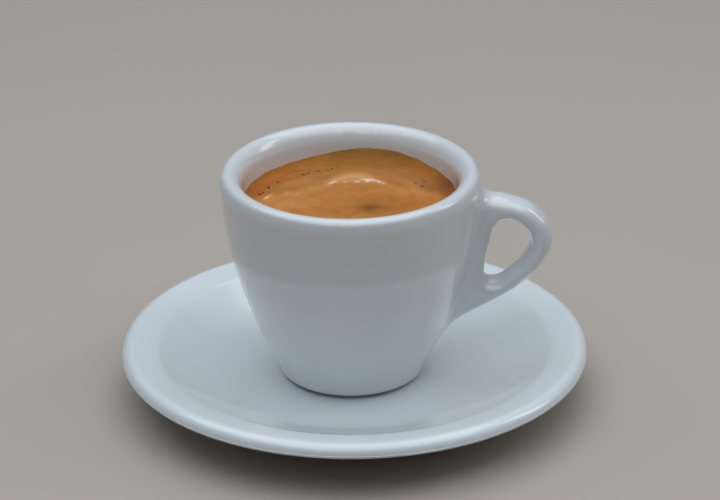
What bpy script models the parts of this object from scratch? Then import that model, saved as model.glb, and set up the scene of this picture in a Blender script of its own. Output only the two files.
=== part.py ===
"""Espresso shot served in its thick-walled cup on a saucer.

Three pieces: the saucer, the cup with its handle in one piece of porcelain, and the coffee
with its crema, filled to a few millimetres below the rim. The origin is at the centre of
the saucer, on the surface it stands on. +Z is up and +X points along the handle.
"""

import math

import bmesh
import bpy

MM = 0.001
COLLECTION = "espresso_shot"
HELPERS = "espresso_shot_helpers"

# Turned pieces
CUP_STEPS = 56
SAUCER_STEPS = 64
ARC_STEP = math.radians(24)
LONG_STEP = 6 * MM
AXIS_MERGE = 0.01 * MM
TOUCH_GAP = 0.3 * MM

# Saucer, heights above the surface it stands on
SAUCER_RADIUS = 60 * MM
SAUCER_WELL = 6.2 * MM
DISH_CORNER_RADIUS = 36 * MM
DISH_ARC = 60 * MM
BAND_RADIUS = 50.6 * MM
BAND_HEIGHT = 13.4 * MM
BAND_ARC = 5 * MM
LIP_TOP = 15.2 * MM
LIP_BOTTOM = 11.2 * MM
LIP_ARC = 1.9 * MM
UNDERSIDE_RADIUS = 46 * MM
UNDERSIDE_HEIGHT = 6.8 * MM
UNDERSIDE_ARC = 12 * MM
SAUCER_FOOT_OUTER = 31.6 * MM
SAUCER_FOOT_INNER = 28.6 * MM
SAUCER_FOOT_STEP = 2.0 * MM
SAUCER_RECESS = 2.4 * MM
FOOT_ARC = 0.5 * MM
FOOT_HOLLOW_ARC = 1.2 * MM

# Cup, heights above its own foot
CUP_OFFSET = -0.7 * MM
CUP_RADIUS = 33.4 * MM
WALL_ARC = 124 * MM
WALL_ARC_HEIGHT = 61 * MM
WALL_THICKNESS = 5.8 * MM
LIP_CENTRE_RADIUS = 30.75 * MM
LIP_CENTRE_HEIGHT = 53.7 * MM
CUP_LIP_ARC = 2.25 * MM
LIP_INNER_TURN = math.radians(160)
OUTER_WALL_TOP = 52.5 * MM
INNER_WALL_TOP = 49.0 * MM
INNER_WALL_BOTTOM = 15.0 * MM
CUP_FLOOR = 6.6 * MM
CUP_FLOOR_CORNER = 16.4 * MM
CUP_FLOOR_ARC = 9 * MM
HEEL_RADIUS = 18.2 * MM
HEEL_HEIGHT = 0.5 * MM
HEEL_ARC = 4 * MM
CUP_FOOT_OUTER = 15.8 * MM
CUP_FOOT_INNER = 13.0 * MM
CUP_RECESS = 1.4 * MM

# Handle, in the upright plane through the cup's axis: distance from that axis, height above the foot
HANDLE_WIDTH = 9.4 * MM
HANDLE_EDGE = 1.6 * MM
HANDLE_CURVE_STEPS = 3
HANDLE_EDGE_STEPS = 1
HANDLE_ROOT_TOP = (29.2 * MM, 49.0 * MM)
HANDLE_SHOULDER = (35.5 * MM, 48.5 * MM)
HANDLE_TOP = (41.2 * MM, 47.4 * MM)
HANDLE_TOP_BEND = (47.1 * MM, 44.5 * MM)
HANDLE_OUTERMOST = (51.0 * MM, 38.0 * MM)
HANDLE_LOWER_BEND = (49.0 * MM, 31.2 * MM)
HANDLE_UNDERSIDE = (43.6 * MM, 25.0 * MM)
HANDLE_LOWER_ARM = (35.8 * MM, 19.9 * MM)
HANDLE_TAIL = (28.1 * MM, 15.6 * MM)
HANDLE_ROOT_BOTTOM = (20.6 * MM, 10.8 * MM)
HANDLE_ROOT_END = (19.2 * MM, 14.2 * MM)
HANDLE_IN_WALL_LOW = (23.6 * MM, 25.0 * MM)
HANDLE_IN_WALL_HIGH = (28.2 * MM, 40.0 * MM)
GAP_TOP_LEFT = (36.6 * MM, 41.5 * MM)
GAP_TOP = (39.6 * MM, 43.0 * MM)
GAP_TOP_RIGHT = (43.5 * MM, 41.3 * MM)
GAP_RIGHT = (46.2 * MM, 37.0 * MM)
GAP_LOWER_RIGHT = (44.9 * MM, 32.0 * MM)
GAP_FLOOR = (40.9 * MM, 27.5 * MM)
GAP_BOTTOM = (36.7 * MM, 24.8 * MM)
GAP_BOTTOM_LEFT = (33.4 * MM, 25.7 * MM)
GAP_LEFT = (33.7 * MM, 30.0 * MM)
GAP_UPPER_LEFT = (35.0 * MM, 35.8 * MM)

# Coffee, heights above the cup's foot
CREMA_LEVEL = 48.1 * MM
CREMA_EDGE_WIDTH = 3.2 * MM
CREMA_EDGE_RINGS = 3
CREMA_CLIMB = 0.3 * MM
CREMA_BACK_CLIMB = 1.9 * MM
CREMA_BACK_ANGLE = math.radians(76)
CREMA_BACK_SPREAD = math.radians(34)

# Finishes, linear RGB
CUP_COLOR = (0.72, 0.75, 0.78)
SAUCER_COLOR = (0.74, 0.77, 0.80)
CREMA_COLOR = (0.42, 0.19, 0.06)
GLAZE_ROUGHNESS = 0.12
GLAZE_COAT = 0.5
CREMA_ROUGHNESS = 0.3
SHARP_ANGLE = math.radians(40)


def new_collection(name, is_helper=False):
    """A collection in the scene. A helper collection is left out of renders."""
    collection = bpy.data.collections.new(name)
    collection.hide_render = is_helper
    bpy.context.scene.collection.children.link(collection)
    return collection


def clear_scene():
    """Remove every object that is in the scene."""
    for obj in list(bpy.data.objects):
        bpy.data.objects.remove(obj, do_unlink=True)


def make_material(name, color, roughness, coat=0.0):
    """A Principled material of one colour, linear RGB."""
    material = bpy.data.materials.new(name)
    material.use_nodes = True
    shader = material.node_tree.nodes["Principled BSDF"]
    shader.inputs["Base Color"].default_value = (*color, 1.0)
    shader.inputs["Roughness"].default_value = roughness
    shader.inputs["Metallic"].default_value = 0.0
    shader.inputs["Coat Weight"].default_value = coat
    return material


def arc(centre, radius, start, end, steps):
    """Points on a circle from one angle to another, both ends included."""
    return [
        (
            centre[0] + radius * math.cos(start + (end - start) * i / steps),
            centre[1] + radius * math.sin(start + (end - start) * i / steps),
        )
        for i in range(steps + 1)
    ]


def fillet(before, corner, after, radius):
    """Points of the arc that rounds one corner of an outline."""
    ways = []
    for end in (before, after):
        run = (end[0] - corner[0], end[1] - corner[1])
        length = math.hypot(*run)
        ways.append((run[0] / length, run[1] / length))
    cosine = ways[0][0] * ways[1][0] + ways[0][1] * ways[1][1]
    half = math.acos(max(-1.0, min(1.0, cosine))) / 2
    turn = math.pi - 2 * half
    tangent = radius / math.tan(half)
    start = (corner[0] + ways[0][0] * tangent, corner[1] + ways[0][1] * tangent)
    middle = ((ways[0][0] + ways[1][0]) / 2, (ways[0][1] + ways[1][1]) / 2)
    reach = radius / math.sin(half) / math.hypot(*middle)
    centre = (corner[0] + middle[0] * reach, corner[1] + middle[1] * reach)
    side = ways[0][1] * ways[1][0] - ways[0][0] * ways[1][1]
    first = math.atan2(start[1] - centre[1], start[0] - centre[0])
    steps = max(2, round(turn / ARC_STEP), round(turn * radius / LONG_STEP))
    return arc(centre, radius, first, first + math.copysign(turn, side), steps)


def rounded(corners):
    """An outline through corners of (x, z, radius), each rounded by its radius."""
    points = [corners[0][:2]]
    for before, corner, after in zip(corners, corners[1:], corners[2:]):
        if corner[2]:
            points += fillet(before, corner, after, corner[2])
        else:
            points.append(corner[:2])
    return points + [corners[-1][:2]]


def turned_piece(name, profile, steps, material, collection):
    """A solid turned about Z from a profile that starts and ends on the axis."""
    mesh = bpy.data.meshes.new(name)
    edges = [(i, i + 1) for i in range(len(profile) - 1)]
    mesh.from_pydata([(x, 0.0, z) for x, z in profile], edges, [])
    mesh.materials.append(material)
    obj = bpy.data.objects.new(name, mesh)
    collection.objects.link(obj)
    screw = obj.modifiers.new("turn", "SCREW")
    screw.axis = "Z"
    screw.angle = 2 * math.pi
    screw.steps = steps
    screw.render_steps = steps
    screw.use_merge_vertices = True
    screw.merge_threshold = AXIS_MERGE
    screw.use_smooth_shade = True
    return obj


def applied_mesh(obj, name):
    """The mesh that an object's modifiers give, with its doubles welded."""
    bpy.context.view_layer.update()
    graph = bpy.context.evaluated_depsgraph_get()
    mesh = bpy.data.meshes.new_from_object(obj.evaluated_get(graph))
    mesh.name = name
    shape = bmesh.new()
    shape.from_mesh(mesh)
    bmesh.ops.remove_doubles(shape, verts=shape.verts, dist=AXIS_MERGE)
    shape.to_mesh(mesh)
    shape.free()
    return mesh


def shade(mesh):
    """Smooth shading with its sharp edges kept."""
    mesh.shade_smooth()
    mesh.set_sharp_from_angle(angle=SHARP_ANGLE)


def saucer_profile():
    """Half section of the saucer, from the middle of its well round the lip to its underside."""
    ring_shoulder = SAUCER_FOOT_OUTER + SAUCER_FOOT_STEP / 2
    return rounded(
        [
            (0.0, SAUCER_WELL, 0.0),
            (DISH_CORNER_RADIUS, SAUCER_WELL, DISH_ARC),
            (BAND_RADIUS, BAND_HEIGHT, BAND_ARC),
            (SAUCER_RADIUS, LIP_TOP, LIP_ARC),
            (SAUCER_RADIUS, LIP_BOTTOM, LIP_ARC),
            (UNDERSIDE_RADIUS, UNDERSIDE_HEIGHT, UNDERSIDE_ARC),
            (ring_shoulder, SAUCER_FOOT_STEP, FOOT_ARC),
            (SAUCER_FOOT_OUTER, 0.0, FOOT_ARC),
            (SAUCER_FOOT_INNER, 0.0, FOOT_ARC),
            (SAUCER_FOOT_INNER - SAUCER_FOOT_STEP / 2, SAUCER_RECESS, FOOT_HOLLOW_ARC),
            (0.0, SAUCER_RECESS, 0.0),
        ]
    )


def wall_radius(height, depth=0.0):
    """Radius of the cup's outer wall at a height, or of the surface that deep inside it."""
    reach = WALL_ARC - depth
    rise = height - WALL_ARC_HEIGHT
    return CUP_RADIUS - WALL_ARC + math.sqrt(reach * reach - rise * rise)


def wall_points(start, end, depth=0.0):
    """Points along the wall between two heights, both ends included."""
    steps = round(abs(end - start) / LONG_STEP)
    heights = [start + (end - start) * i / steps for i in range(steps + 1)]
    return [(wall_radius(height, depth), height) for height in heights]


def cup_bowl(top, inset=0.0):
    """The cup's inner surface from the middle of its floor up the wall, drawn in by inset."""
    depth = WALL_THICKNESS + inset
    low = (wall_radius(INNER_WALL_BOTTOM, depth), INNER_WALL_BOTTOM)
    floor = CUP_FLOOR + inset
    corners = [(0.0, floor, 0.0), (CUP_FLOOR_CORNER - inset, floor, CUP_FLOOR_ARC), (*low, 0.0)]
    return rounded(corners)[:-1] + wall_points(INNER_WALL_BOTTOM, top, depth)


def cup_profile():
    """Half section of the cup, from the middle of its floor over the lip to its underside."""
    lip = arc(
        (LIP_CENTRE_RADIUS, LIP_CENTRE_HEIGHT),
        CUP_LIP_ARC,
        LIP_INNER_TURN,
        0.0,
        round(LIP_INNER_TURN / ARC_STEP) + 1,
    )
    heel_top = HEEL_HEIGHT + HEEL_ARC
    heel = rounded(
        [
            (wall_radius(heel_top), heel_top, 0.0),
            (HEEL_RADIUS, HEEL_HEIGHT, HEEL_ARC / 2),
            (CUP_FOOT_OUTER, HEEL_HEIGHT, 0.0),
            (CUP_FOOT_OUTER, 0.0, 0.0),
            (CUP_FOOT_INNER, 0.0, 0.0),
            (CUP_FOOT_INNER - CUP_RECESS / 2, CUP_RECESS, 0.0),
            (0.0, CUP_RECESS, 0.0),
        ]
    )
    outer = wall_points(OUTER_WALL_TOP, heel_top)
    return cup_bowl(INNER_WALL_TOP) + lip + outer[:-1] + heel


def handle_spline(curve, points, corner_points):
    """A closed smooth spline through the points, with the corner points left sharp."""
    spline = curve.splines.new("BEZIER")
    spline.bezier_points.add(len(points) - 1)
    for knot, point in zip(spline.bezier_points, points):
        knot.co = (point[0], point[1], 0.0)
        handle_type = "VECTOR" if point in corner_points else "AUTO"
        knot.handle_left_type = handle_type
        knot.handle_right_type = handle_type
    spline.use_cyclic_u = True
    spline.resolution_u = HANDLE_CURVE_STEPS


def make_handle(material, collection):
    """The ear-shaped handle, cut from an outline with the finger gap in it, its edges rounded."""
    curve = bpy.data.curves.new("handle_outline", "CURVE")
    curve.dimensions = "2D"
    curve.fill_mode = "BOTH"
    curve.resolution_u = HANDLE_CURVE_STEPS
    curve.extrude = HANDLE_WIDTH / 2 - HANDLE_EDGE
    curve.bevel_depth = HANDLE_EDGE
    curve.bevel_resolution = HANDLE_EDGE_STEPS
    curve.offset = -HANDLE_EDGE
    in_wall = [HANDLE_ROOT_BOTTOM, HANDLE_ROOT_END, HANDLE_IN_WALL_LOW, HANDLE_IN_WALL_HIGH]
    outside = [HANDLE_ROOT_TOP, HANDLE_SHOULDER, HANDLE_TOP, HANDLE_TOP_BEND, HANDLE_OUTERMOST]
    outside += [HANDLE_LOWER_BEND, HANDLE_UNDERSIDE, HANDLE_LOWER_ARM, HANDLE_TAIL]
    outside += in_wall
    gap = [GAP_TOP_LEFT, GAP_TOP, GAP_TOP_RIGHT, GAP_RIGHT, GAP_LOWER_RIGHT]
    gap += [GAP_FLOOR, GAP_BOTTOM, GAP_BOTTOM_LEFT, GAP_LEFT, GAP_UPPER_LEFT]
    handle_spline(curve, outside, [HANDLE_ROOT_TOP, *in_wall])
    handle_spline(curve, gap, [])
    outline = bpy.data.objects.new("handle_outline", curve)
    outline.rotation_euler = (math.pi / 2, 0.0, 0.0)
    collection.objects.link(outline)
    mesh = applied_mesh(outline, "handle")
    mesh.materials.append(material)
    handle = bpy.data.objects.new("handle", mesh)
    handle.matrix_world = outline.matrix_world.copy()
    handle.display_type = "WIRE"
    handle.hide_render = True
    collection.objects.link(handle)
    bpy.data.objects.remove(outline)
    bpy.data.curves.remove(curve)
    return handle


def make_cup(material, collection, helpers):
    """The cup's turned body and its handle, joined into one piece of porcelain."""
    body = turned_piece("cup_body", cup_profile(), CUP_STEPS, material, helpers)
    body.hide_render = True
    handle = make_handle(material, helpers)
    cup = bpy.data.objects.new("cup", applied_mesh(body, "cup"))
    collection.objects.link(cup)
    union = cup.modifiers.new("handle_on_cup", "BOOLEAN")
    union.operation = "UNION"
    union.solver = "EXACT"
    union.object = handle
    mesh = applied_mesh(cup, "cup_with_handle")
    cup.modifiers.clear()
    cup.data = mesh
    for helper in (body, handle):
        bpy.data.objects.remove(helper)
    shade(mesh)
    return cup


def crema_climb(x, y):
    """How far the crema stands above its level at a place: its edge climbs the wall, most at the back."""
    edge = wall_radius(CREMA_LEVEL, WALL_THICKNESS)
    share = (math.hypot(x, y) - (edge - CREMA_EDGE_WIDTH)) / CREMA_EDGE_WIDTH
    if share <= 0:
        return 0.0
    swing = math.atan2(y, x) - CREMA_BACK_ANGLE
    swing = math.atan2(math.sin(swing), math.cos(swing))
    back = math.exp(-((swing / CREMA_BACK_SPREAD) ** 2))
    return (CREMA_CLIMB + CREMA_BACK_CLIMB * back) * share * share


def make_espresso(material, collection):
    """The coffee in the cup, with a crema top whose edge climbs the wall."""
    bowl = cup_bowl(CREMA_LEVEL, TOUCH_GAP)
    edge = bowl[-1][0]
    rings = [edge - CREMA_EDGE_WIDTH * i / CREMA_EDGE_RINGS for i in range(CREMA_EDGE_RINGS + 1)]
    top = [(0.0, CREMA_LEVEL)] + [(radius, CREMA_LEVEL) for radius in reversed(rings)]
    profile = top + bowl[-2::-1]
    turned = turned_piece("espresso_turned", profile, CUP_STEPS, material, collection)
    mesh = applied_mesh(turned, "espresso")
    bpy.data.objects.remove(turned)
    for vert in mesh.vertices:
        if vert.co.z > CREMA_LEVEL - AXIS_MERGE:
            vert.co.z += crema_climb(vert.co.x, vert.co.y)
    espresso = bpy.data.objects.new("espresso", mesh)
    collection.objects.link(espresso)
    shade(mesh)
    return espresso


def main():
    """Build the saucer, the cup and the coffee, and set the full cup on the saucer."""
    clear_scene()
    pieces = new_collection(COLLECTION)
    helpers = new_collection(HELPERS, is_helper=True)
    cup_glaze = make_material("cup_porcelain", CUP_COLOR, GLAZE_ROUGHNESS, GLAZE_COAT)
    saucer_glaze = make_material("saucer_porcelain", SAUCER_COLOR, GLAZE_ROUGHNESS, GLAZE_COAT)
    crema = make_material("crema", CREMA_COLOR, CREMA_ROUGHNESS)

    saucer = turned_piece("saucer", saucer_profile(), SAUCER_STEPS, saucer_glaze, pieces)
    cup = make_cup(cup_glaze, pieces, helpers)
    espresso = make_espresso(crema, pieces)

    resting_place = bpy.data.objects.new("cup_resting_place", None)
    resting_place.location = (CUP_OFFSET, 0.0, SAUCER_WELL + TOUCH_GAP)
    pieces.objects.link(resting_place)
    resting_place.parent = saucer
    for piece in (cup, espresso):
        piece.parent = resting_place


main()
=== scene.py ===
"""Looks of an espresso in its thick porcelain cup, standing on its saucer.

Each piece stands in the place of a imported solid. The saucer and the cup are dressed in fine
glazed surfaces with bare foot rings, and the coffee in a crema with ripples, streaks, pits and
bubbles. Sizes are given in millimetres and angles in degrees; meshes are in metres, +Z up.
"""

import logging
import math
import random
from collections.abc import Sequence
from dataclasses import dataclass
from enum import Enum
from functools import reduce

import bmesh
import bpy
import numpy as np
from mathutils import Matrix, Vector, noise


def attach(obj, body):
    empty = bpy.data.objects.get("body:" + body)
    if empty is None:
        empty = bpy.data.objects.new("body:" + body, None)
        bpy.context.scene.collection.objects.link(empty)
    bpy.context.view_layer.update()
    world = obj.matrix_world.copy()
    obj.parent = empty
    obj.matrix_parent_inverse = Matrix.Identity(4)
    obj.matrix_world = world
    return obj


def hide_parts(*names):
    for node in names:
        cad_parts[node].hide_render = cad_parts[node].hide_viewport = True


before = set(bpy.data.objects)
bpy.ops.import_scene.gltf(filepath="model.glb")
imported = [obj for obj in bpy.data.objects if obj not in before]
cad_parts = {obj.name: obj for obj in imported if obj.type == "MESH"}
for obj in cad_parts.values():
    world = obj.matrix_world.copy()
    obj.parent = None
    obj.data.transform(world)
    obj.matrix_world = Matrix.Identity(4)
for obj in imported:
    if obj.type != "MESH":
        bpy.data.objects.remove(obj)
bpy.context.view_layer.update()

MM = 0.001
WELD = 1e-6  # in metres
TINY = 1e-6
WEDGES = 16
TURN_STEP = math.radians(9)
CHORD = 1.5  # this and the next are the longest chords of a section
RING_CHORD = 1.0
SPAN_STEPS = 8
SEAM = 0.1
ORIGIN = (0.0, 0.0, 0.0)
UP = (0.0, 0.0, 1.0)
FLAT = (1.0, 1.0, 0.0)
COFFEE_IOR = 1.36
Point = tuple[float, float]
Place = tuple[float, float, float]
Color = tuple[float, float, float]
BMesh = bmesh.types.BMesh
Material = bpy.types.Material
Mesh = bpy.types.Mesh
Socket = bpy.types.NodeSocket

log = logging.getLogger("espresso")


class Node(Enum):
    """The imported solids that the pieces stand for."""

    SAUCER = "saucer"
    CUP = "cup"
    ESPRESSO = "espresso"


class Slot(Enum):
    """The record's material slots."""

    SAUCER = "saucer_porcelain"
    CUP = "cup_porcelain"
    CREMA = "crema"


class Foam(Enum):
    """What a mark in the crema is: a pit that a bubble left, or a bubble still whole."""

    PIT = "pit"
    BUBBLE = "bubble"


FLATNESS = {Foam.PIT: 0.22, Foam.BUBBLE: 0.45}


@dataclass(frozen=True)
class Corner:
    """A corner of a half section: distance from the axis, height, and the radius that rounds it."""

    across: float
    height: float
    radius: float = 0.0


def arc(centre: Point, radius: float, start: float, end: float, steps: int) -> list[Point]:
    """Points on a circle from one angle to another, in radians, both ends included."""
    turns = [start + (end - start) * i / steps for i in range(steps + 1)]
    return [(centre[0] + radius * math.cos(t), centre[1] + radius * math.sin(t)) for t in turns]


def fillet(before: Point, corner: Corner, after: Point, chord: float) -> list[Point]:
    """Points of the arc that rounds one corner.

    Args:
        before: The point before the corner.
        corner: The corner and its radius.
        after: The point after the corner.
        chord: Largest length of one chord.

    Returns:
        The arc's points, from the side of before to the side of after.
    """
    place = Vector((corner.across, corner.height))
    back = (Vector(before) - place).normalized()
    ahead = (Vector(after) - place).normalized()
    half = back.angle(ahead) / 2
    turn = math.pi - 2 * half
    start = place + back * (corner.radius / math.tan(half))
    centre = place + (back + ahead).normalized() * (corner.radius / math.sin(half))
    first = math.atan2(start.y - centre.y, start.x - centre.x)
    side = back.y * ahead.x - back.x * ahead.y
    steps = max(2, math.ceil(turn / TURN_STEP), math.ceil(turn * corner.radius / chord))
    return arc(tuple(centre), corner.radius, first, first + math.copysign(turn, side), steps)


def rounded(corners: Sequence[Corner], chord: float = CHORD) -> list[Point]:
    """A half section with its corners rounded, but for the first and last, and long straights divided."""
    sharp = [(corner.across, corner.height) for corner in corners]
    points = [sharp[0]]
    for before, corner, after in zip(sharp, corners[1:], sharp[2:]):
        flat = [(corner.across, corner.height)]
        points += fillet(before, corner, after, chord) if corner.radius > 0 else flat
    points.append(sharp[-1])
    return divided(points, chord)


def divided(points: Sequence[Point], chord: float) -> list[Point]:
    """The same line with no chord longer than the given length."""
    fine = [points[0]]
    for start, end in zip(points, points[1:]):
        steps = max(1, math.ceil(math.dist(start, end) / chord))
        for i in range(1, steps + 1):
            share = i / steps
            fine.append((start[0] + (end[0] - start[0]) * share, start[1] + (end[1] - start[1]) * share))
    return fine


def ring_section(inner: float, outer: float, start: float, low: Corner, high: Corner) -> list[Point]:
    """Closed section of a bare foot ring, from a start on its hidden top.

    Low and high hold the height and the rounding of its lower and upper corners.
    """
    corners = [Corner(start, high.height)]
    for across, end in ((inner, high), (inner, low), (outer, low), (outer, high)):
        corners.append(Corner(across, end.height, end.radius))
    return rounded(corners + [Corner(start + SEAM, high.height)], RING_CHORD)


def eased_loop(points: Sequence[Point], sharp: Sequence[int] = ()) -> list[Point]:
    """A closed smooth outline through points, as a Bezier curve with automatic handles runs.

    Args:
        points: The outline's points, in order.
        sharp: Numbers of those that stay corners.

    Returns:
        The points of the fine outline.
    """
    automatic = 2.5614  # as the curve editor has it
    knots = [Vector(point) for point in points]
    arms = []
    for i, knot in enumerate(knots):
        back, ahead = knot - knots[i - 1], knots[(i + 1) % len(knots)] - knot
        if i in sharp:
            arms.append((-back / 3, ahead / 3))
            continue
        way = (back.normalized() + ahead.normalized()).normalized()
        arms.append((-way * back.length / automatic, way * ahead.length / automatic))
    outline = []
    for i, knot in enumerate(knots):
        end = knots[(i + 1) % len(knots)]
        near, far = knot + arms[i][1], end + arms[(i + 1) % len(knots)][0]
        for k in range(SPAN_STEPS):
            t = k / SPAN_STEPS
            s = 1 - t
            place = knot * s**3 + near * 3 * s * s * t + far * 3 * s * t * t + end * t**3
            outline.append((place.x, place.y))
    return outline


def outline_distance(places: np.ndarray, outline: np.ndarray, closed: bool) -> np.ndarray:
    """Signed distance of flat places to an outline.

    Args:
        places: One row for each place.
        outline: The outline's points. An open one starts and ends on the axis.
        closed: Whether a last chord joins the ends.

    Returns:
        The distances, negative inside.
    """
    starts = outline if closed else outline[:-1]
    ends = np.roll(outline, -1, axis=0) if closed else outline[1:]
    nearest = np.full(len(places), np.inf)
    inside = np.zeros(len(places), bool)
    for start, end in zip(starts, ends):
        run = end - start
        reach = places - start
        share = np.clip(reach @ run / (run @ run), 0.0, 1.0)
        gap = reach - share[:, None] * run
        nearest = np.minimum(nearest, (gap * gap).sum(axis=1))
        spans = (start[1] > places[:, 1]) != (end[1] > places[:, 1])
        if run[1]:
            inside ^= spans & (reach[:, 0] < run[0] * reach[:, 1] / run[1])
    return np.where(inside, -1.0, 1.0) * np.sqrt(nearest)


def verts_of(geometry: Sequence[object]) -> list[bmesh.types.BMVert]:
    """The vertices among what an operator made."""
    return [item for item in geometry if isinstance(item, bmesh.types.BMVert)]


def turned(section: Sequence[Point], steps: int, closed: bool = False) -> BMesh:
    """A shape spun about Z from a half section.

    Args:
        section: Points of (distance from the axis, height), in millimetres.
        steps: How many steps the full turn has, a multiple of the wedges that it is copied from.
        closed: Whether the section is a loop, as for a ring.

    Returns:
        The closed shape in metres, its faces pointing out.
    """
    shape = bmesh.new()
    verts = [shape.verts.new((across * MM, 0.0, height * MM)) for across, height in section]
    pairs = list(zip(verts, verts[1:])) + ([(verts[-1], verts[0])] if closed else [])
    edges = [shape.edges.new(pair) for pair in pairs]
    turn = 2 * math.pi / WEDGES
    bmesh.ops.spin(shape, geom=verts + edges, cent=ORIGIN, axis=UP, angle=turn, steps=steps // WEDGES)
    for doubling in range(WEDGES.bit_length() - 1):
        geometry = shape.verts[:] + shape.edges[:] + shape.faces[:]
        copied = bmesh.ops.duplicate(shape, geom=geometry)["geom"]
        rotation = Matrix.Rotation(turn * 2**doubling, 3, "Z")
        bmesh.ops.rotate(shape, verts=verts_of(copied), cent=ORIGIN, matrix=rotation)
    bmesh.ops.remove_doubles(shape, verts=shape.verts, dist=WELD)
    bmesh.ops.recalc_face_normals(shape, faces=shape.faces)
    return shape


def metres(*lengths: float) -> tuple[float, ...]:
    """Lengths in millimetres turned into metres."""
    return tuple(length * MM for length in lengths)


def bell(distance: float, width: float) -> float:
    """A smooth hump, 1 in the middle, that has mostly faded at its width."""
    return math.exp(-((distance / width) ** 2))


def uneven(x: float, y: float, size: Point, layer: float) -> float:
    """Smooth noise from -1 to 1, with features of a size along x and y; each layer has its own."""
    return noise.noise(Vector((x / size[0], y / size[1], layer)))


def read_places(mesh: Mesh) -> np.ndarray:
    """A mesh's vertices as rows of x, y, z in millimetres."""
    places = np.empty(len(mesh.vertices) * 3, np.float64)
    mesh.vertices.foreach_get("co", places)
    return places.reshape(-1, 3) / MM


def write_places(mesh: Mesh, places: np.ndarray) -> None:
    """Move a mesh's vertices to rows of x, y, z in millimetres."""
    mesh.vertices.foreach_set("co", (places * MM).ravel())
    mesh.update()


def relaxed(places: np.ndarray, edges: np.ndarray) -> np.ndarray:
    """Each vertex's place moved halfway to the middle of its neighbours along the edges."""
    ends = np.concatenate([edges, edges[:, ::-1]])
    counts = np.maximum(np.bincount(ends[:, 0], minlength=len(places)), 1)
    columns = [np.bincount(ends[:, 0], places[ends[:, 1], axis], len(places)) for axis in range(3)]
    return (places + np.stack(columns, axis=1) / counts[:, None]) / 2


def to_mesh(name: str, shape: BMesh) -> Mesh:
    """A smooth shaded mesh from a finished shape, which is freed."""
    mesh = bpy.data.meshes.new(name)
    shape.to_mesh(mesh)
    shape.free()
    mesh.shade_smooth()
    return mesh


def add_object(name: str, data: bpy.types.ID) -> bpy.types.Object:
    """A new object in the scene."""
    made = bpy.data.objects.new(name, data)
    bpy.context.scene.collection.objects.link(made)
    return made


def place_piece(mesh: Mesh, material: Material, node: Node, stand: Matrix = Matrix()) -> None:
    """Put a finished mesh in the scene as a piece of the object, under the mesh's name.

    Args:
        mesh: The mesh.
        material: Its finish.
        node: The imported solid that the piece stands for.
        stand: The move that takes its vertices to their place.
    """
    mesh.transform(stand)
    mesh.materials.clear()
    mesh.materials.append(material)
    piece = add_object(mesh.name, mesh)
    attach(piece, "root")
    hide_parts(node.value)
    log.info("%s: %d faces, stands for %s", mesh.name, len(mesh.polygons), node.value)


class Wires:
    """A node tree that is wired with short calls."""

    def __init__(self, tree: bpy.types.NodeTree) -> None:
        """Wire in a tree."""
        self.tree = tree

    def feed(self, socket: Socket, value: object) -> None:
        """Link an output to a socket, or set the socket's own value."""
        if isinstance(value, Socket):
            self.tree.links.new(value, socket)
        else:
            socket.default_value = value

    def node(
        self, kind: str, feeds: dict[str | int, object] | None = None, **settings: object
    ) -> bpy.types.Node:
        """Add a node with its properties set and its inputs fed, each by name or number."""
        made = self.tree.nodes.new(kind)
        for key, value in settings.items():
            setattr(made, key, value)
        for key, value in (feeds or {}).items():
            self.feed(made.inputs[key], value)
        return made

    def place(self, centre: Place = ORIGIN) -> Socket:
        """Object coordinates in metres, measured from a centre in millimetres."""
        coordinates = self.node("ShaderNodeTexCoord").outputs["Object"]
        shift = tuple(-value for value in metres(*centre))
        return self.node("ShaderNodeMapping", {"Vector": coordinates, "Location": shift}).outputs["Vector"]

    def attribute(self, name: str) -> Socket:
        """What the mesh says at a place under a name."""
        return self.node("ShaderNodeAttribute", attribute_name=name).outputs["Fac"]

    def math(self, operation: str, *values: object, clamp: bool = False) -> Socket:
        """The result of one arithmetic step."""
        feeds = dict(enumerate(values))
        return self.node("ShaderNodeMath", feeds, operation=operation, use_clamp=clamp).outputs[0]

    def product(self, *factors: Socket) -> Socket:
        """Several values multiplied."""
        return reduce(lambda first, second: self.math("MULTIPLY", first, second), factors)

    def vector(self, operation: str, *values: object, out: str = "Vector") -> Socket:
        """The result of one step of arithmetic with vectors."""
        return self.node("ShaderNodeVectorMath", dict(enumerate(values)), operation=operation).outputs[out]

    def noise(self, at: Socket, size: float, detail: float = 3.0) -> Socket:
        """Smooth noise, about 0.5 on average, with features of a size in millimetres."""
        feeds = {"Vector": at, "Scale": 1 / (size * MM), "Detail": detail}
        return self.node("ShaderNodeTexNoise", feeds).outputs["Fac"]

    def between(self, value: Socket, ends: Point, low: float = 0.0, high: float = 1.0) -> Socket:
        """A value's place between two ends, carried over smoothly to low and high."""
        feeds = {"Value": value, "From Min": ends[0], "From Max": ends[1], "To Min": low, "To Max": high}
        return self.node("ShaderNodeMapRange", feeds, interpolation_type="SMOOTHSTEP").outputs["Result"]

    def mix(self, share: Socket, first: Socket | Color, second: Socket | Color) -> Socket:
        """Two colours mixed by a share."""
        pair = [(*value, 1.0) if isinstance(value, tuple) else value for value in (first, second)]
        return self.node("ShaderNodeMix", {0: share, 6: pair[0], 7: pair[1]}, data_type="RGBA").outputs[2]

    def ramp(self, value: Socket, stops: Sequence[tuple[float, Color]]) -> Socket:
        """A value turned into a colour through a row of stops."""
        made = self.node("ShaderNodeValToRGB", {"Fac": value})
        elements = made.color_ramp.elements
        for i, (position, color) in enumerate(stops):
            element = elements[i] if i < len(elements) else elements.new(position)
            element.position = position
            element.color = (*color, 1.0)
        return made.outputs["Color"]

    def bump(self, height: Socket, depth: float) -> Socket:
        """A normal bent by a height field of a depth in millimetres."""
        return self.node("ShaderNodeBump", {"Height": height, "Distance": depth * MM}).outputs["Normal"]


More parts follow.
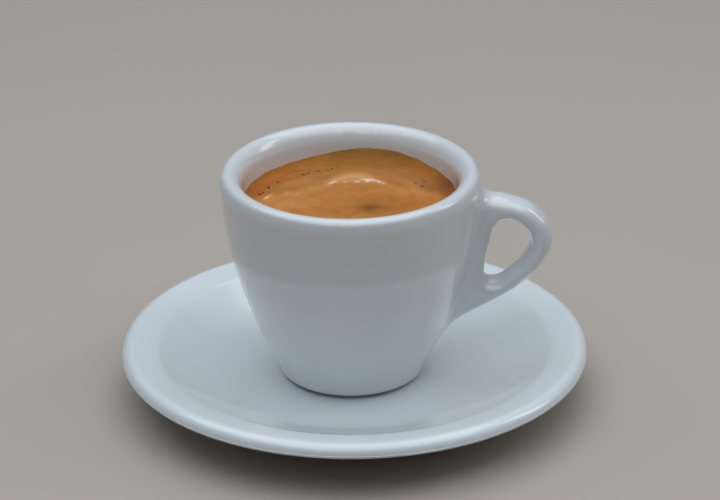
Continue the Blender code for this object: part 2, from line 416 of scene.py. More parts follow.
class Recipe(Wires):
    """A Principled material."""

    def __init__(self, name: str) -> None:
        """Start a material under a name."""
        self.material = bpy.data.materials.new(name)
        self.material.use_nodes = True
        super().__init__(self.material.node_tree)
        self.shader = self.tree.nodes["Principled BSDF"]

    def surface(self, **values: object) -> None:
        """Feed the shader's sockets, named with underscores for spaces."""
        for key, value in values.items():
            self.feed(self.shader.inputs[key.replace("_", " ")], value)


@dataclass(frozen=True)
class Glaze:
    """White porcelain under a clear glaze that is a little uneven, as dipped ware is."""

    name: str
    color: Color
    pooled: Color
    body_roughness: Point = (0.28, 0.36)
    coat_roughness: float = 0.09
    cloud_size: float = 16.0
    cloud_ends: Point = (0.35, 0.65)
    wave_size: float = 7.0
    wave_depth: float = 0.012
    peel_size: float = 1.3
    peel_depth: float = 0.0008

    def make(self) -> Material:
        """Wire the glaze's nodes."""
        recipe = Recipe(self.name)
        at = recipe.place()
        clouds = recipe.between(recipe.noise(at, self.cloud_size), self.cloud_ends)
        wave, peel = (recipe.noise(at, size, detail=1.0) for size in (self.wave_size, self.peel_size))
        wave = recipe.math("MULTIPLY", wave, self.wave_depth / self.peel_depth)
        bent = recipe.bump(recipe.math("ADD", wave, peel), self.peel_depth)
        recipe.surface(
            Base_Color=self.tinted(recipe, recipe.mix(clouds, self.color, self.pooled)),
            Roughness=recipe.between(clouds, (0.0, 1.0), *self.body_roughness),
            Coat_Weight=1.0,
            Coat_Roughness=self.coat_roughness,
            Coat_Normal=bent,
            Normal=bent,
        )
        return recipe.material

    def tinted(self, recipe: Recipe, color: Socket) -> Socket:
        """The glaze's colour with any painted light on it, here nothing."""
        return color


@dataclass(frozen=True)
class CupGlaze(Glaze):
    """The glaze of a cup in use, with painted warm bounce light from the crema on the inner wall above it.

    The painted bounce's reach is from the cup's axis and its heights are from the table. It thins out over
    its rise, comes in patches and fades towards the back.
    """

    axis: Place = (-0.7, 0.0, 0.0)
    # Painted warm bounce light from the crema on the inner wall: its colour, strength and where it falls.
    crema_bounce: Color = (0.62, 0.48, 0.27)
    bounce_share: float = 0.12
    bounce_reach: Point = (29.5, 30.5)
    bounce_foot: Point = (51.6, 53.6)
    bounce_rise: Point = (54.6, 60.6)
    bounce_depth: Point = (10.0, 24.0)
    bounce_back_share: float = 0.1
    patch_size: float = 8.0
    patch_ends: Point = (0.3, 0.7)
    patch_least: float = 0.6

    def tinted(self, recipe: Recipe, color: Socket) -> Socket:
        """The glaze's colour under the painted warm bounce light from the crema."""
        at = recipe.place(self.axis)
        reach = recipe.vector("LENGTH", recipe.vector("MULTIPLY", at, FLAT), out="Value")
        _, depth, height = recipe.node("ShaderNodeSeparateXYZ", {"Vector": at}).outputs
        share = recipe.product(
            recipe.between(reach, metres(*self.bounce_reach), 1.0, 0.0),
            recipe.between(height, metres(*self.bounce_foot)),
            recipe.between(height, metres(*self.bounce_rise), self.bounce_share, 0.0),
            recipe.between(recipe.noise(at, self.patch_size), self.patch_ends, self.patch_least),
            recipe.between(depth, metres(*self.bounce_depth), 1.0, self.bounce_back_share),
        )
        # Painted warm bounce light from the crema, laid over the glaze's own colour.
        return recipe.mix(share, color, self.crema_bounce)


@dataclass(frozen=True)
class CremaFinish:
    """Fine coffee foam: a wet sheen over tan and brown streaks, with a froth too fine to model."""

    name: str
    centre: Place
    browns: tuple[tuple[float, Color], ...] = (
        (0.0, (0.12, 0.045, 0.006)),
        (0.3, (0.285, 0.120, 0.018)),
        (0.55, (0.510, 0.196, 0.038)),
        (0.8, (0.65, 0.343, 0.160)),
        # The top stop is the pale pinkish colour of the painted highlights.
        (1.0, (0.86, 0.700, 0.63)),
    )
    reds: tuple[tuple[float, Color], ...] = (
        (0.0, (0.16, 0.042, 0.004)),
        (0.4, (0.39, 0.115, 0.010)),
        (0.7, (0.58, 0.198, 0.029)),
        (1.0, (0.75, 0.330, 0.10)),
    )
    wet_roughness: Point = (0.15, 0.28)
    edge_roughness: float = 0.45
    shine: float = 0.3
    froth_size: float = 0.28
    froth_ends: Point = (0.3, 0.7)
    froth_depth: float = 0.012
    froth_swing: float = 0.12
    swell_size: float = 2.6
    swell_depth: float = 0.05
    cloud_size: float = 5.0
    cloud_swing: float = 0.14
    streak_size: float = 2.4
    streak_turns: float = 4.0
    streak_swing: float = 0.25

    def make(self) -> Material:
        """Wire the foam's nodes."""
        recipe = Recipe(self.name)
        at = recipe.place(self.centre)
        streaks = recipe.noise(self.round_place(recipe, at), self.streak_size, detail=4.0)
        clouds = recipe.noise(at, self.cloud_size)
        froth = recipe.noise(at, self.froth_size, detail=2.0)
        tone = recipe.attribute("tone")
        swings = ((streaks, self.streak_swing), (clouds, self.cloud_swing), (froth, self.froth_swing))
        for field, amount in swings:
            swing = recipe.math("MULTIPLY_ADD", field, amount, -amount / 2)
            tone = recipe.math("ADD", tone, swing, clamp=True)
        browns, reds = recipe.ramp(tone, self.browns), recipe.ramp(tone, self.reds)
        swell = recipe.noise(at, self.swell_size, detail=1.0)
        swell = recipe.math("MULTIPLY", swell, self.swell_depth / self.froth_depth)
        wet = recipe.between(froth, self.froth_ends, *self.wet_roughness)
        dry = recipe.attribute("dry")
        recipe.surface(
            Base_Color=recipe.mix(recipe.attribute("warmth"), browns, reds),
            Roughness=recipe.math("MULTIPLY_ADD", dry, self.edge_roughness, wet, clamp=True),
            IOR=COFFEE_IOR,
            Specular_IOR_Level=self.shine,
            Normal=recipe.bump(recipe.math("ADD", swell, froth), self.froth_depth),
        )
        return recipe.material

    def round_place(self, recipe: Recipe, at: Socket) -> Socket:
        """Coordinates that run slowly round the cup and fast across it, so noise makes arcs."""
        flat = recipe.vector("MULTIPLY", at, FLAT)
        pace = self.streak_turns * self.streak_size * MM
        wide = recipe.vector("MULTIPLY", recipe.vector("NORMALIZE", flat), (pace, pace, pace))
        reach = recipe.vector("LENGTH", flat, out="Value")
        rise = recipe.node("ShaderNodeCombineXYZ", {"Z": reach}).outputs["Vector"]
        return recipe.vector("ADD", wide, rise)


@dataclass(frozen=True)
class MottledFinish:
    """A plain finish of two mottled colours, with a grain where it is given as size and depth."""

    name: str
    color: Color
    other: Color
    mottle_size: float
    roughness: float
    ior: float = 1.5
    shine: float = 0.5
    detail: float = 2.0
    ends: Point | None = None
    grain: Point | None = None

    def make(self) -> Material:
        """Wire the finish's nodes."""
        recipe = Recipe(self.name)
        at = recipe.place()
        mottle = recipe.noise(at, self.mottle_size, self.detail)
        if self.ends:
            mottle = recipe.between(mottle, self.ends)
        recipe.surface(
            Base_Color=recipe.mix(mottle, self.color, self.other),
            Roughness=self.roughness,
            IOR=self.ior,
            Specular_IOR_Level=self.shine,
        )
        if self.grain:
            size, depth = self.grain
            recipe.surface(Normal=recipe.bump(recipe.noise(at, size, detail=4.0), depth))
        return recipe.material


FLOOR = MottledFinish("pale_floor", (0.475, 0.415, 0.355), (0.45, 0.392, 0.335), 120.0, roughness=0.7)
SAUCER_GLAZE = Glaze("saucer_glaze", (0.775, 0.83, 0.855), (0.76, 0.815, 0.845))
# The cup's glaze is darker and less blue than the saucer's: painted shade for the dimmer light on the cup's
# walls.
CUP_GLAZE = CupGlaze("cup_glaze", (0.70, 0.73, 0.75), (0.685, 0.715, 0.74))
BARE = MottledFinish(
    "bare_porcelain", (0.70, 0.66, 0.60), (0.52, 0.48, 0.43), 5.0,
    roughness=0.78, detail=5.0, ends=(0.45, 0.7), grain=(0.35, 0.02),
)
PIT = MottledFinish(
    "crema_pit", (0.08, 0.026, 0.004), (0.15, 0.05, 0.01), 0.4, roughness=0.8, ior=COFFEE_IOR, shine=0.1
)
BUBBLE = MottledFinish(
    "crema_bubble", (0.30, 0.12, 0.025), (0.42, 0.18, 0.05), 0.4, roughness=0.2, ior=COFFEE_IOR, shine=0.4
)


@dataclass
class Saucer:
    """The round saucer: a flat well, a soft rise to a broad band and a full lip."""

    radius: float = 60.0
    well: float = 6.2
    dish_corner: Corner = Corner(36.0, 6.2, 60.0)
    band: Corner = Corner(50.6, 13.4, 5.0)
    lip_top: float = 15.4
    lip_bottom: float = 11.6
    lip_arc: float = 2.7
    lip_edge: float = 0.9
    underside: Corner = Corner(46.0, 6.8, 12.0)
    foot_outer: float = 31.6
    foot_inner: float = 28.6
    foot_step: float = 2.0
    recess: float = 2.4
    recess_arc: float = 1.2
    foot_arc: float = 0.5
    edge_arc: float = 0.1
    bare_height: float = 0.45
    bare_inset: float = 0.12
    bare_depth: float = 0.3
    bare_arc: float = 0.35
    seam: float = 1.0
    steps: int = 288

    def section(self) -> list[Point]:
        """Half section of the glazed saucer, from the middle of its well round to its underside."""
        corners = [
            Corner(0.0, self.well),
            self.dish_corner,
            self.band,
            Corner(self.radius, self.lip_top, self.lip_arc),
            Corner(self.radius, self.lip_bottom, self.lip_edge),
            self.underside,
            Corner(self.foot_outer + self.foot_step / 2, self.foot_step, self.foot_arc),
            Corner(self.foot_outer, self.bare_height, self.edge_arc),
            Corner(self.foot_inner, self.bare_height, self.edge_arc),
            Corner(self.foot_inner - self.foot_step / 2, self.recess, self.recess_arc),
            Corner(0.0, self.recess),
        ]
        return rounded(corners)

    def foot_section(self) -> list[Point]:
        """Section of the bare ring, let into the glazed foot."""
        inner, outer = self.foot_inner + self.bare_inset, self.foot_outer - self.bare_inset
        low = Corner(inner, 0.0, self.bare_arc)
        high = Corner(inner, self.bare_height + self.bare_depth, self.edge_arc)
        return ring_section(inner, outer, self.foot_inner + self.seam, low, high)

    def build(self, bare: Material) -> None:
        """Make the saucer and its bare foot ring."""
        body = to_mesh("saucer_glazed", turned(self.section(), self.steps))
        place_piece(body, SAUCER_GLAZE.make(), Node.SAUCER)
        ring = to_mesh("saucer_foot", turned(self.foot_section(), self.steps, closed=True))
        place_piece(ring, bare, Node.SAUCER)


@dataclass
class Cup:
    """The thick-walled cup and its ear handle, one piece of porcelain.

    Heights are above the cup's foot, and distances are from its own axis.
    """

    axis_x: float = -0.7
    foot_height: float = 6.5
    radius: float = 33.4
    wall_arc: float = 124.0
    wall_arc_height: float = 61.0
    wall: float = 5.8
    lip: Corner = Corner(30.9, 53.85, 2.0)
    lip_inside: Point = (3.74, 5.4)
    lip_turn: float = 173.5
    lip_inside_steps: int = 16
    lip_steps: int = 14
    shoulder_arc: float = 9.0
    shoulder_steps: int = 8
    inner_wall_top: float = 50.6
    inner_wall_bottom: float = 15.0
    floor: float = 6.6
    floor_corner: float = 16.4
    floor_arc: float = 9.0
    heel: Corner = Corner(18.2, 0.5, 2.0)
    heel_top: float = 4.5
    foot_outer: float = 15.8
    foot_inner: float = 13.0
    foot_arc: float = 0.4
    recess: float = 1.4
    recess_arc: float = 0.6
    bare_depth: float = 0.4
    bare_bottom: float = -0.28
    seam: float = 1.0
    handle_width: float = 9.4
    handle_edge: float = 3.1
    handle_crown: float = 4.3
    handle_swell: float = 0.45
    blend: float = 4.0
    blend_depth: float = 2.0
    voxel: float = 0.6
    relax_rounds: int = 6
    draw_rounds: int = 2
    relax_width: float = 12.22
    largest_move: float = 0.6
    slope_step: float = 0.02
    steps: int = 256
    outer_points: tuple[Point, ...] = (
        (29.2, 49.0), (35.5, 48.5), (41.2, 47.4), (47.1, 44.5), (51.0, 38.0), (49.0, 31.2),
        (43.6, 25.0), (35.8, 19.9), (28.1, 15.6), (20.6, 10.8), (19.2, 14.2), (23.6, 25.0), (28.2, 40.0),
    )
    in_wall: tuple[int, ...] = (0, 9, 10, 11, 12)
    gap_points: tuple[Point, ...] = (
        (36.7, 41.3), (39.6, 42.8), (43.5, 41.2), (46.2, 37.0), (44.9, 32.0), (40.9, 27.5),
        (37.0, 25.0), (34.2, 25.6), (33.7, 29.2), (34.9, 35.8),
    )

    def wall_radius(self, height: float, depth: float = 0.0) -> float:
        """Radius of the outer wall at a height, or of the surface that deep inside it."""
        reach = self.wall_arc - depth
        return self.radius - self.wall_arc + math.sqrt(reach**2 - (height - self.wall_arc_height) ** 2)

    def wall_line(self, start: float, end: float, depth: float = 0.0) -> list[Point]:
        """Points along the wall between two heights, a millimetre apart."""
        steps = max(1, round(abs(end - start)))
        heights = [start + (end - start) * i / steps for i in range(steps + 1)]
        return [(self.wall_radius(height, depth), height) for height in heights]

    def bowl(self, top: float, inset: float = 0.0) -> list[Point]:
        """The inner surface from the middle of the floor up to a height; inset < 0 is in the porcelain."""
        wall = self.wall_line(self.inner_wall_bottom, top, self.wall + inset)
        floor = self.floor + inset
        corner = Corner(self.floor_corner - inset, floor, self.floor_arc)
        return rounded([Corner(0.0, floor), corner, Corner(*wall[0])])[:-1] + wall

    def wall_middle(self) -> Vector:
        """Centre of the wall's arc."""
        return Vector((self.radius - self.wall_arc, self.wall_arc_height))

    def shoulder_middle(self) -> Vector:
        """Centre of the long arc below the lip, which runs smoothly into the lip and the wall."""
        wall = self.wall_middle()
        lip = Vector((self.lip.across, self.lip.height))
        span, reach = (lip - wall).length, self.wall_arc - self.shoulder_arc
        near = self.shoulder_arc - self.lip.radius
        down = math.acos((reach**2 + span**2 - near**2) / (2 * reach * span))
        return wall + Matrix.Rotation(-down, 2) @ (lip - wall) * (reach / span)

    def section(self) -> list[Point]:
        """Half section of the glazed cup, from the middle of its floor over the lip to its underside."""
        wall, middle = self.wall_middle(), self.shoulder_middle()
        out = Vector((self.lip.across, self.lip.height)) - middle
        first, last = math.atan2(out.y, out.x), math.atan2(middle.y - wall.y, middle.x - wall.x)
        reach, drop = self.lip_inside
        low = self.lip.height + self.lip.radius - drop
        inside = arc((0.0, 0.0), 1.0, math.radians(self.lip_turn), math.pi / 2, self.lip_inside_steps)[:-1]
        lip = [(self.lip.across + reach * across, low + drop * height) for across, height in inside]
        lip += arc((self.lip.across, self.lip.height), self.lip.radius, math.pi / 2, first, self.lip_steps)
        shoulder = arc(tuple(middle), self.shoulder_arc, first, last, self.shoulder_steps)
        heel = [
            Corner(self.wall_radius(self.heel_top), self.heel_top),
            self.heel,
            Corner(self.foot_inner, self.heel.height, self.foot_arc),
            Corner(self.foot_inner - self.recess / 2, self.recess, self.recess_arc),
            Corner(0.0, self.recess),
        ]
        outer = self.wall_line(shoulder[-1][1], self.heel_top)
        return self.bowl(self.inner_wall_top) + lip + shoulder[1:-1] + outer[:-1] + rounded(heel)

    def foot_section(self) -> list[Point]:
        """Section of the bare foot ring, which stands on the saucer."""
        low = Corner(self.foot_inner, self.bare_bottom, self.foot_arc)
        high = Corner(self.foot_inner, self.heel.height + self.bare_depth)
        return ring_section(self.foot_inner, self.foot_outer, self.foot_inner + self.seam, low, high)

    def handle_plate(self, shape: BMesh) -> None:
        """Add the handle to a shape as a flat plate with its finger gap cut through."""
        half = self.handle_width / 2 * MM
        edges = []
        for loop in self.loops():
            verts = [shape.verts.new((x * MM, -half, z * MM)) for x, z in loop]
            edges += [shape.edges.new(pair) for pair in zip(verts, verts[1:] + verts[:1])]
        filled = bmesh.ops.triangle_fill(shape, use_beauty=True, edges=edges)["geom"]
        faces = [item for item in filled if isinstance(item, bmesh.types.BMFace)]
        raised = bmesh.ops.extrude_face_region(shape, geom=faces, use_keep_orig=True)["geom"]
        bmesh.ops.translate(shape, verts=verts_of(raised), vec=(0.0, 2 * half, 0.0))

    def loops(self) -> tuple[list[Point], list[Point]]:
        """The handle's outer outline, closed inside the wall, and the outline of its finger gap."""
        return eased_loop(self.outer_points, self.in_wall), eased_loop(self.gap_points)

    def handle_distance(self, places: np.ndarray) -> np.ndarray:
        """Distance to the handle, its edges rounded to a full oval, negative inside."""
        flat = places[:, [0, 2]]
        rim, gap = (outline_distance(flat, np.array(loop), closed=True) for loop in self.loops())
        across = np.maximum(rim, -gap) - self.handle_swell + self.handle_edge
        deep = np.abs(places[:, 1]) - self.handle_width / 2 + self.handle_crown
        flat = np.maximum(across - self.handle_edge, deep - self.handle_crown)
        corner = (across > 0.0) & (deep > 0.0)
        u, v = across[corner] / self.handle_edge, deep[corner] / self.handle_crown
        reach = np.hypot(u, v)
        slope = np.hypot(u / self.handle_edge, v / self.handle_crown) / reach
        flat[corner] = (reach - 1.0) / slope
        return flat

    def distance(self, places: np.ndarray) -> np.ndarray:
        """Distance to the whole cup, its handle run softly into the outside of the wall."""
        reach = np.hypot(places[:, 0], places[:, 1])
        flat = np.column_stack([reach, places[:, 2]])
        body = outline_distance(flat, np.array(self.section()), closed=False)
        near = places[:, 0] > self.foot_inner
        handle = np.full(len(places), np.inf)
        handle[near] = self.handle_distance(places[near])
        rise = places[:, 2] - self.wall_arc_height
        middle = self.radius - self.wall_arc + np.sqrt((self.wall_arc - self.wall / 2) ** 2 - rise**2)
        outside = np.clip((reach - middle) / self.blend_depth, 0.0, 1.0)
        soft = np.maximum(self.blend * outside, TINY)
        share = np.clip(soft - np.abs(body - handle), 0.0, None) / soft
        return np.minimum(body, handle) - share**2 * soft / 4

    def settle(self, mesh: Mesh) -> None:
        """Draw a coarse skin onto the cup's true surface and give it that surface's normals."""
        ends = np.empty(len(mesh.edges) * 2, np.int32)
        mesh.edges.foreach_get("vertices", ends)
        for turn in range(self.relax_rounds + self.draw_rounds):
            places = read_places(mesh)
            if turn < self.relax_rounds:
                near = (places[:, 0] > self.foot_outer) & (np.abs(places[:, 1]) < self.relax_width)
                places[near] = relaxed(places, ends.reshape(-1, 2))[near]
                write_places(mesh, places)
            outward = np.empty(places.size, np.float32)
            mesh.vertex_normals.foreach_get("vector", outward)
            move = np.clip(self.distance(places), -self.largest_move, self.largest_move)
            places -= outward.reshape(-1, 3) * move[:, None]
            write_places(mesh, places)
        here = self.distance(places)
        slope = [self.distance(places + self.slope_step * way) - here for way in np.eye(3)]
        normals = np.stack(slope, axis=1)
        normals /= np.linalg.norm(normals, axis=1)[:, None]
        mesh.shade_smooth()
        mesh.normals_split_custom_set_from_vertices(normals)

    def build(self, bare: Material) -> None:
        """Make the cup with its handle, and its bare foot ring."""
        shape = turned(self.section(), self.steps)
        self.handle_plate(shape)
        bmesh.ops.recalc_face_normals(shape, faces=shape.faces)
        rough = add_object("cup_rough", to_mesh("cup_rough", shape))
        skin = rough.modifiers.new("skin", "REMESH")
        skin.mode = "VOXEL"
        skin.voxel_size = self.voxel * MM
        bpy.context.view_layer.update()
        graph = bpy.context.evaluated_depsgraph_get()
        mesh = bpy.data.meshes.new_from_object(rough.evaluated_get(graph))
        mesh.name = "cup_glazed"
        bpy.data.objects.remove(rough)
        self.settle(mesh)
        place_piece(mesh, CUP_GLAZE.make(), Node.CUP, self.stand())
        ring = to_mesh("cup_foot", turned(self.foot_section(), self.steps, closed=True))
        place_piece(ring, bare, Node.CUP, self.stand())

    def stand(self) -> Matrix:
        """The move from the cup's own axis and foot to its place on the saucer."""
        return Matrix.Translation(metres(self.axis_x, 0.0, self.foot_height))


@dataclass(frozen=True)
class Patch:
    """A soft patch of the crema that is lighter or darker, redder or browner, than the rest."""

    x: float
    y: float
    wide: float
    deep: float
    tone: float
    warmth: float = 0.0
    turn: float = 0.0

    def share(self, x: float, y: float) -> float:
        """How much of the patch shows at a place, from 0 to 1."""
        c, s = math.cos(math.radians(self.turn)), math.sin(math.radians(self.turn))
        along = (x - self.x) * c + (y - self.y) * s
        across = (y - self.y) * c - (x - self.x) * s
        return bell(along, self.wide) * bell(across, self.deep)


@dataclass
class Espresso:
    """The coffee with its crema, which climbs the wall a little, most at the back.

    Heights are above the cup's foot, and places are measured from the cup's axis. Tone runs from
    dark to light and warmth from brown to red, each from 0 to 1.
    """

    cup: Cup
    level: float = 48.1
    edge_width: float = 3.2
    climb: float = 0.25
    right_climb: float = 0.15
    back_climb: float = 1.8
    back_angle: float = 74.0
    back_spread: float = 31.0
    ragged: float = 0.25
    ragged_size: Point = (1 / 6, 1 / 6)
    in_wall: float = 0.15
    ring_gap: float = 0.33
    steps: int = 320
    ripple: float = 0.035
    ripple_gap: float = 5.0
    ripple_wander: float = 1.5
    broad_size: Point = (9.0, 9.0)
    swell: float = 0.05
    swell_size: Point = (3.5, 3.5)
    crest_x: float = 1.5
    crest_y: float = 14.6
    crest_width: float = 8.0
    crest_base: float = 4.8
    crest_bend: float = 0.0095
    crest_height: float = 0.006
    crest_gap: float = 2.1
    crest_wander: float = 0.5
    crest_fade: Point = (12.0, 2.6)
    base_tone: float = 0.55
    base_warmth: float = 0.25
    band_tone: float = -0.23
    band_warmth: float = -0.1
    band_width: float = 7.8
    band_slant: float = 0.12
    band_edge: float = 9.0
    band_front: float = -10.0
    side_middle: float = 4.0
    side_reach: float = 20.0
    side_tone: float = 0.08
    side_warmth: float = 0.6
    behind_tone: float = -0.13
    behind_width: float = 3.5
    # Lightness along the crest: partly lighter foam, partly a painted reflection of the cup's lip.
    crest_tone: float = 0.12
    crest_size: Point = (17.0, 2.2)
    wander_size: Point = (3.0, 3.0)
    # Patches lighter than this tone are painted highlights, broken up by noise of the swing and size below.
    highlight_least_tone: float = 0.15
    highlight_swing: float = 1.4
    highlight_size: Point = (1.3, 0.9)
    seed: int = 7
    fine_pits: int = 44
    pit_left: Point = (-24.0, -2.0)
    pit_right: Point = (14.0, 22.0)
    left_share: float = 0.8
    pit_depth: Point = (0.97, 0.2)
    pit_width: Point = (0.2, 0.45)
    bubbles: int = 260
    bubble_spread: float = 2.2
    bubble_gap: float = 0.15
    bubble_width: Point = (0.15, 0.45)
    dome_steps: tuple[int, int] = (12, 7)
    clear_pits: tuple[Place, ...] = (
        (-23.0, 2.6, 0.9), (-22.1, 3.5, 0.7), (-20.8, 6.6, 0.9), (-18.4, 10.1, 0.7), (-11.9, 14.8, 0.8),
        (-10.8, 15.5, 0.6), (-8.2, 17.1, 0.8), (-5.7, 17.6, 0.6), (-4.6, 18.3, 0.6), (18.4, 6.5, 0.9),
        (16.7, 8.9, 0.7), (19.1, 9.8, 0.6),
    )
    # The lightest patches are painted highlights: the glints along the crest and the dash at the left edge.
    # The wide soft cap over the crest and the pale arms to its left and right are partly lighter foam and
    # partly a painted reflection of the cup's lip. The others are the crema's own lighter, darker and
    # redder zones.
    patches: tuple[Patch, ...] = (
        Patch(1.6, 12.6, 4.8, 2.2, 0.15), Patch(-4.5, 9.45, 1.8, 0.5, 0.40, 0.0, 44.0),
        Patch(-1.5, 9.9, 0.9, 0.5, 0.26, 0.0, 20.0), Patch(1.4, 10.0, 1.1, 0.7, 0.42),
        Patch(4.6, 10.7, 1.8, 1.1, 0.46), Patch(7.7, 9.7, 1.9, 0.5, 0.38, 0.0, -40.0),
        Patch(-20.9, 0.75, 1.5, 0.4, 0.60, 0.0, 56.0), Patch(-13.0, 9.6, 6.0, 2.0, 0.10, 0.0, 25.0),
        Patch(-15.0, -4.0, 8.0, 3.5, 0.06), Patch(14.5, 8.0, 5.5, 1.6, 0.10, 0.1, -56.0),
        Patch(20.6, 1.4, 4.2, 1.5, 0.11, 0.1, -45.0), Patch(7.5, -1.0, 8.0, 4.5, -0.05, 0.15),
        Patch(4.9, -6.4, 3.2, 3.0, -0.27), Patch(8.5, -7.5, 6.0, 3.5, -0.08),
        Patch(-4.0, -8.5, 5.0, 3.0, -0.08, 0.2), Patch(-25.0, 4.0, 4.0, 8.0, -0.06, 0.5),
        Patch(25.0, 5.5, 4.0, 7.5, -0.30, 0.8), Patch(14.0, -5.0, 7.0, 3.5, -0.04, 0.4),
    )

    def edge_radius(self) -> float:
        """Radius of the inner wall at the crema's level."""
        return self.cup.wall_radius(self.level, self.cup.wall)

    def rise(self, x: float, y: float) -> float:
        """How far the surface stands above the crema's level at a place."""
        reach, turn = math.hypot(x, y), math.atan2(y, x)
        swing = turn - math.radians(self.back_angle)
        swing = math.degrees(math.atan2(math.sin(swing), math.cos(swing)))
        climb = self.climb + self.right_climb * math.cos(turn)
        climb += self.back_climb * bell(swing, self.back_spread)
        climb += self.ragged * uneven(math.cos(turn), math.sin(turn), self.ragged_size, 9.0)
        near = max(0.0, (reach - self.edge_radius() + self.edge_width) / self.edge_width)
        inner = max(0.0, 1.0 - (reach / self.edge_radius()) ** 4)
        broad = uneven(x, y, self.broad_size, 1.0)
        low = uneven(x, y, self.swell_size, 4.0)
        ring = math.sin(2 * math.pi * reach / self.ripple_gap + self.ripple_wander * broad)
        behind = self.behind_crest(x, y) + self.crest_wander * low
        fade = bell(x - self.crest_x, self.crest_fade[0]) * bell(behind, self.crest_fade[1])
        crest = self.crest_height * math.cos(2 * math.pi * behind / self.crest_gap) * fade
        return climb * near**2 + inner * (self.ripple * ring * (1 + broad) + self.swell * low + crest)

    def behind_crest(self, x: float, y: float) -> float:
        """How far a place lies behind the crest that the pour left across the crema, whose light arc is
        partly lighter foam and partly a painted reflection of the cup's lip.
        """
        base = self.crest_base - self.crest_bend * x * x
        return y - base - (self.crest_y - self.crest_base) * bell(x - self.crest_x, self.crest_width)

    def band(self, x: float, y: float) -> float:
        """How much a place belongs to the darker band along the back of the wall."""
        wall = math.sqrt(max(0.0, self.edge_radius() ** 2 - x * x))
        depth = (wall - y) / (self.band_width - self.band_slant * x)
        return 1.0 / (1.0 + math.exp((depth - 1.0) * self.band_edge)) if y > self.band_front else 0.0

    def surface(self) -> BMesh:
        """The coffee's closed shape, with the relief of its crema."""
        bowl = self.cup.bowl(self.level, -self.in_wall)
        edge = bowl[-1][0]
        rings = math.ceil(edge / self.ring_gap)
        top = [(edge * i / rings, self.level) for i in range(rings)]
        shape = turned(top + bowl[::-1], self.steps)
        for vert in shape.verts:
            if vert.co.z > self.level * MM - TINY:
                vert.co.z += self.rise(vert.co.x / MM, vert.co.y / MM) * MM
        return shape

    def paint(self, mesh: Mesh) -> None:
        """Write how light, how red and how dry the crema is at each vertex; the lightness also holds
        painted highlights and a partly painted reflection along the crest.
        """
        fields = {"tone": [], "warmth": [], "dry": []}
        for vert in mesh.vertices:
            x, y = vert.co.x / MM, vert.co.y / MM
            band = self.band(x, y)
            side = min(1.0, ((x - self.side_middle) / self.side_reach) ** 2)
            behind = self.behind_crest(x, y) + uneven(x, y, self.wander_size, 2.0)
            tone = self.base_tone + band * (self.band_tone + self.side_tone * side)
            tone += self.behind_tone * (1.0 - band) * min(1.0, max(0.0, behind / self.behind_width))
            # Lighter along the crest: partly lighter foam, partly a painted reflection of the cup's lip.
            tone += self.crest_tone * bell(x, self.crest_size[0]) * bell(behind, self.crest_size[1])
            warmth = self.base_warmth + band * (self.side_warmth * side + self.band_warmth)
            # Painted highlights are broken up by noise.
            broken = 1.0 + self.highlight_swing * uneven(x, y, self.highlight_size, 7.0)
            for patch in self.patches:
                share = patch.share(x, y) * (broken if patch.tone > self.highlight_least_tone else 1.0)
                tone += patch.tone * share
                warmth += patch.warmth * share
            for name, value in (("tone", tone), ("warmth", warmth), ("dry", band)):
                fields[name].append(min(1.0, max(0.0, value)))
        for name, values in fields.items():
            mesh.attributes.new(name, "FLOAT", "POINT").data.foreach_set("value", values)

    def marks(self) -> dict[Foam, list[Place]]:
        """Place and width of each mark: the photo's clearest pits, then a seeded scatter of fine ones."""
        marks = {Foam.PIT: list(self.clear_pits), Foam.BUBBLE: []}
        draw = random.Random(self.seed)
        for _ in range(self.fine_pits):
            x = draw.uniform(*(self.pit_left if draw.random() < self.left_share else self.pit_right))
            depth = (self.band_width - self.band_slant * x) * draw.gauss(*self.pit_depth)
            y = math.sqrt(self.edge_radius() ** 2 - x * x) - depth
            marks[Foam.PIT].append((x, y, draw.uniform(*self.pit_width)))
        for _ in range(self.bubbles):
            turn = draw.uniform(0, 2 * math.pi)
            reach = self.edge_radius() - abs(draw.gauss(0.0, self.bubble_spread)) - self.bubble_gap
            x, y = reach * math.cos(turn), reach * math.sin(turn)
            marks[Foam.BUBBLE].append((x, y, draw.uniform(*self.bubble_width)))
        return marks

    def foam(self, kind: Foam) -> BMesh:
        """All marks of one kind as small flattened domes on the crema's surface."""
        ball = bmesh.new()
        sides, rings = self.dome_steps
        bmesh.ops.create_uvsphere(ball, u_segments=sides, v_segments=rings, radius=MM / 2)
        dome = to_mesh("dome", ball)
        shape = bmesh.new()
        for x, y, width in self.marks()[kind]:
            copy = dome.copy()
            copy.transform(Matrix.Diagonal((width, width, width * FLATNESS[kind], 1.0)))
            copy.transform(Matrix.Translation(metres(x, y, self.level + self.rise(x, y))))
            shape.from_mesh(copy)
            bpy.data.meshes.remove(copy)
        bpy.data.meshes.remove(dome)
        return shape

    def build(self) -> None:
        """Make the coffee and the marks on it."""
        coffee = to_mesh("coffee", self.surface())
        self.paint(coffee)
        centre = (self.cup.axis_x, 0.0, 0.0)
        marks = [to_mesh(f"crema_{kind.value}s", self.foam(kind)) for kind in Foam]
        for mesh, finish in zip((coffee, *marks), (CremaFinish("crema", centre), PIT, BUBBLE)):
            place_piece(mesh, finish.make(), Node.ESPRESSO, self.cup.stand())


@dataclass(frozen=True)
class Lamp:
    """A soft rectangular studio lamp: where it hangs, what it points at, its size and strength."""

    name: str
    place: Place
    aim: Place
    size: Point
    watts: float
    color: Color

    def hang(self) -> None:
        """Put the lamp in the scene."""
        light = bpy.data.lights.new(self.name, "AREA")
        light.shape = "RECTANGLE"
        light.size, light.size_y = metres(*self.size)
        light.energy = self.watts
        light.color = self.color
        lamp = add_object(self.name, light)
        lamp.location = Vector(self.place) * MM
        way = (Vector(self.aim) - Vector(self.place)).normalized()
        lamp.rotation_mode = "QUATERNION"
        lamp.rotation_quaternion = way.to_track_quat("-Z", "Y")


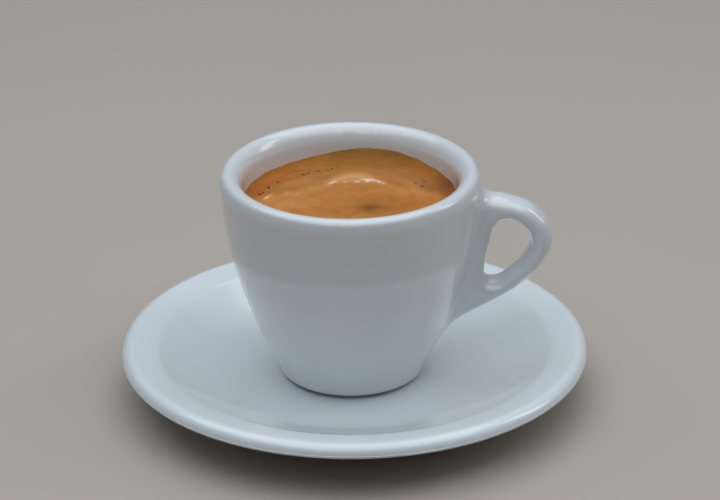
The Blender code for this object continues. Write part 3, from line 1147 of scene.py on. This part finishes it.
@dataclass
class Studio:
    """The pale floor, the soft lamps, the dim room round them and the camera."""

    floor_half: float = 4000.0
    floor_cells: int = 8
    room_low: Color = (0.03, 0.028, 0.026)
    room_high: Color = (0.30, 0.34, 0.38)
    room_ends: Point = (0.35, 0.9)
    room_back: Color = (0.20, 0.215, 0.23)
    back_ends: Point = (0.2, 0.95)
    lamps: tuple[Lamp, ...] = (
        Lamp(
            "overhead", (-40.0, -40.0, 700.0), (0.0, -20.0, 40.0), (1150.0, 1050.0), 5.6, (0.87, 0.94, 1.0)
        ),
        Lamp(
            "side_strip", (1300.0, 250.0, 900.0), (0.0, 0.0, 50.0), (380.0, 900.0), 3.2, (0.97, 0.97, 0.98)
        ),
    )
    camera_place: Place = (0.0, -788.03, 403.03)
    pitch: float = 24.74
    yaw: float = 0.1226
    roll: float = -0.5443
    lens: float = 170.0
    clip: Point = (10.0, 50000.0)

    def floor(self) -> None:
        """Lay the floor."""
        shape = bmesh.new()
        cells = self.floor_cells
        bmesh.ops.create_grid(shape, x_segments=cells, y_segments=cells, size=self.floor_half * MM)
        floor = add_object("floor", to_mesh("floor", shape))
        floor.data.materials.append(FLOOR.make())

    def room(self) -> None:
        """Light the room from above, dimmer towards the horizon, with a soft glow at the back."""
        world = bpy.data.worlds.new("room")
        world.use_nodes = True
        bpy.context.scene.world = world
        wires = Wires(world.node_tree)
        way = wires.node("ShaderNodeTexCoord").outputs["Generated"]
        _, back, high = wires.node("ShaderNodeSeparateXYZ", {"Vector": way}).outputs
        sky = wires.ramp(high, tuple(zip(self.room_ends, (self.room_low, self.room_high))))
        glow = wires.mix(wires.between(back, self.back_ends), sky, self.room_back)
        wires.feed(world.node_tree.nodes["Background"].inputs["Color"], glow)

    def camera(self) -> None:
        """Set the camera where the photographer stood."""
        pitch, yaw, roll = (math.radians(value) for value in (self.pitch, self.yaw, self.roll))
        ahead = Vector((math.sin(yaw) * math.cos(pitch), math.cos(yaw) * math.cos(pitch), -math.sin(pitch)))
        right = ahead.cross(Vector(UP)).normalized()
        up = right.cross(ahead)
        c, s = math.cos(roll), math.sin(roll)
        right, up = right * c + up * s, up * c - right * s
        data = bpy.data.cameras.new("camera")
        data.lens = self.lens
        data.clip_start, data.clip_end = metres(*self.clip)
        camera = add_object("camera", data)
        turn = Matrix((right, up, -ahead)).transposed().to_4x4()
        camera.matrix_world = Matrix.Translation(Vector(self.camera_place) * MM) @ turn
        bpy.context.scene.camera = camera

    def build(self) -> None:
        """Make the floor, the lamps, the room and the camera."""
        bpy.context.scene.view_settings.view_transform = "Standard"
        self.floor()
        self.room()
        for lamp in self.lamps:
            lamp.hang()
        self.camera()


def main() -> None:
    """Build the studio, the saucer, the cup and the coffee, in that order."""
    logging.basicConfig(level=logging.INFO, format="%(message)s")
    Studio().build()
    bare = BARE.make()
    Saucer().build(bare)
    cup = Cup()
    cup.build(bare)
    Espresso(cup).build()


if __name__ == "__main__":
    main()
